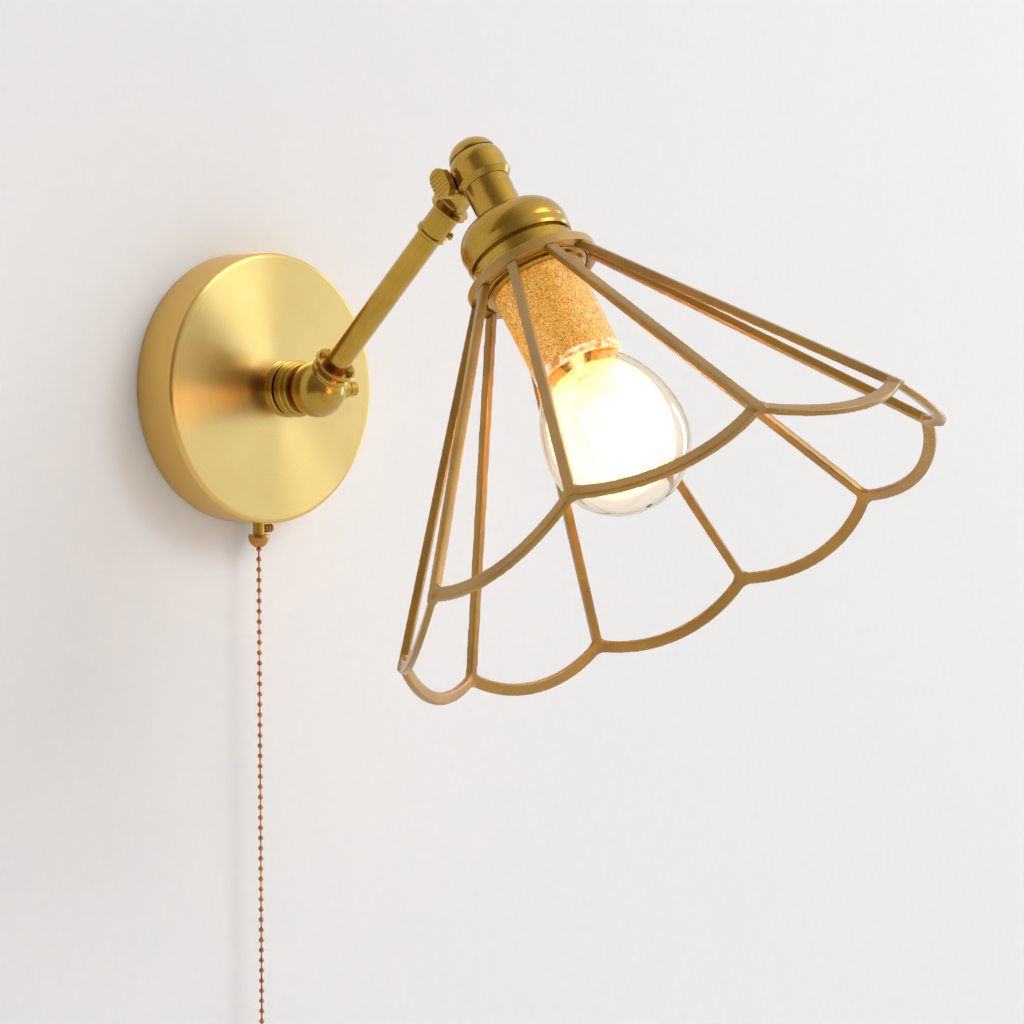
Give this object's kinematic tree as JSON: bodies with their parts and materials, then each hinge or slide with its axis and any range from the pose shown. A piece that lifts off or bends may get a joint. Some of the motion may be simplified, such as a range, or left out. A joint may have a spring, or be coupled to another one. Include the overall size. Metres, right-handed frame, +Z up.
{
  "type": "adjustable wall sconce",
  "caption": "Brass wall lamp with a round plate, a swivel elbow arm, a tilting lampholder with a bulb in an open scalloped cage shade, and a pull chain.",
  "frame": {"origin": "centre of the two wall-screw slots, which is the centre of the backplate's back face, on the wall", "axes": "+Z up, +Y into the wall along the wall screws, +X to the right as the wall is faced; the lamp projects towards -Y"},
  "size_m": [0.2252, 0.3377, 0.4297],
  "materials": {
    "brushed_brass": "spun-brushed pale gold, lightly lacquered",
    "satin_brass": "satin olive-gold brass, finely brushed along its length",
    "polished_brass": "polished turned brass",
    "cage_brass": "satin olive-gold brass bars with worn edges",
    "zinc_steel": "zinc-plated steel",
    "green_steel": "green-dyed steel screw",
    "switch_plastic": "black moulded plastic",
    "dark_washer": "black washer",
    "amber_sleeve": "granular amber-gold sleeve lit from within",
    "pale_band": "light end band",
    "porcelain": "white glazed insulator",
    "clear_glass": "clear blown glass",
    "mount_glass": "pressed glass mount",
    "nickel_cap": "nickel-plated screw cap",
    "glowing_filament": "lit filaments, warm white",
    "chain_copper": "coppery beaded chain"
  },
  "bodies": {
    "wall_side": {"backplate": "brushed_brass", "wall_bracket": "zinc_steel", "threaded_nipple": "zinc_steel", "nipple_nuts": "zinc_steel", "ground_screw": "green_steel", "pull_switch": "switch_plastic", "switch_locknut": "zinc_steel", "chain_guide": "polished_brass", "guide_screw": "polished_brass", "stem": "polished_brass", "swivel_washer": "dark_washer"},
    "swivel": {"elbow_cup": "polished_brass", "elbow_pivot_pin": "polished_brass", "elbow_clamp_washer": "polished_brass"},
    "elbow_nut": {"elbow_thumb_nut": "polished_brass"},
    "arm": {"elbow_ball": "polished_brass", "arm_collar": "polished_brass", "arm_tube": "satin_brass", "arm_sleeve": "satin_brass", "arm_set_screw": "polished_brass", "arm_eye": "polished_brass"},
    "head": {"head_barrel": "satin_brass", "dome_cap": "satin_brass", "head_pivot_screw": "polished_brass", "head_pivot_nut": "polished_brass", "head_neck": "satin_brass", "head_nipple": "zinc_steel", "head_nipple_nut": "zinc_steel", "bell_cup": "satin_brass", "lower_cup": "satin_brass", "socket_sleeve": "amber_sleeve", "sleeve_end_band": "pale_band", "socket_core": "porcelain", "screw_shell": "polished_brass", "centre_contact": "polished_brass", "gallery_ring": "satin_brass", "bulb_glass": "clear_glass", "bulb_cap": "nickel_cap", "bulb_mount": "mount_glass", "bulb_filaments": "glowing_filament", "shade_ring": "cage_brass", "shade_ribs": "cage_brass", "shade_scallops": "cage_brass"},
    "head_knob": {"head_thumb_knob": "polished_brass"},
    "chain": {"pull_chain": "chain_copper", "pull_knob": "polished_brass"}
  },
  "joints": [
    {"name": "base_swivel", "type": "hinge", "parent": "wall_side", "child": "swivel", "pos_m": [0, -0.0335, 0], "axis": [0, 1, 0], "range_deg": [-90, 90]},
    {"name": "elbow_tilt", "type": "hinge", "parent": "swivel", "child": "arm", "pos_m": [0, -0.049, 0], "axis": [-1, 0, 0], "range_deg": [-30, 25]},
    {"name": "elbow_clamp_turn", "type": "hinge", "parent": "swivel", "child": "elbow_nut", "pos_m": [0.018, -0.049, 0], "axis": [1, 0, 0], "range_deg": [-90, 90]},
    {"name": "head_tilt", "type": "hinge", "parent": "arm", "child": "head", "pos_m": [0, -0.13604, 0.0826], "axis": [-1, 0, 0], "range_deg": [-12, 45]},
    {"name": "head_knob_turn", "type": "hinge", "parent": "head", "child": "head_knob", "pos_m": [-0.0125, -0.13604, 0.0826], "axis": [1, 0, 0], "range_deg": [-90, 90]},
    {"name": "chain_pull", "type": "slide", "parent": "wall_side", "child": "chain", "axis": [0, 0, -1], "range_m": [0, 0.008], "stiffness_N_per_m": 1500}
  ]
}
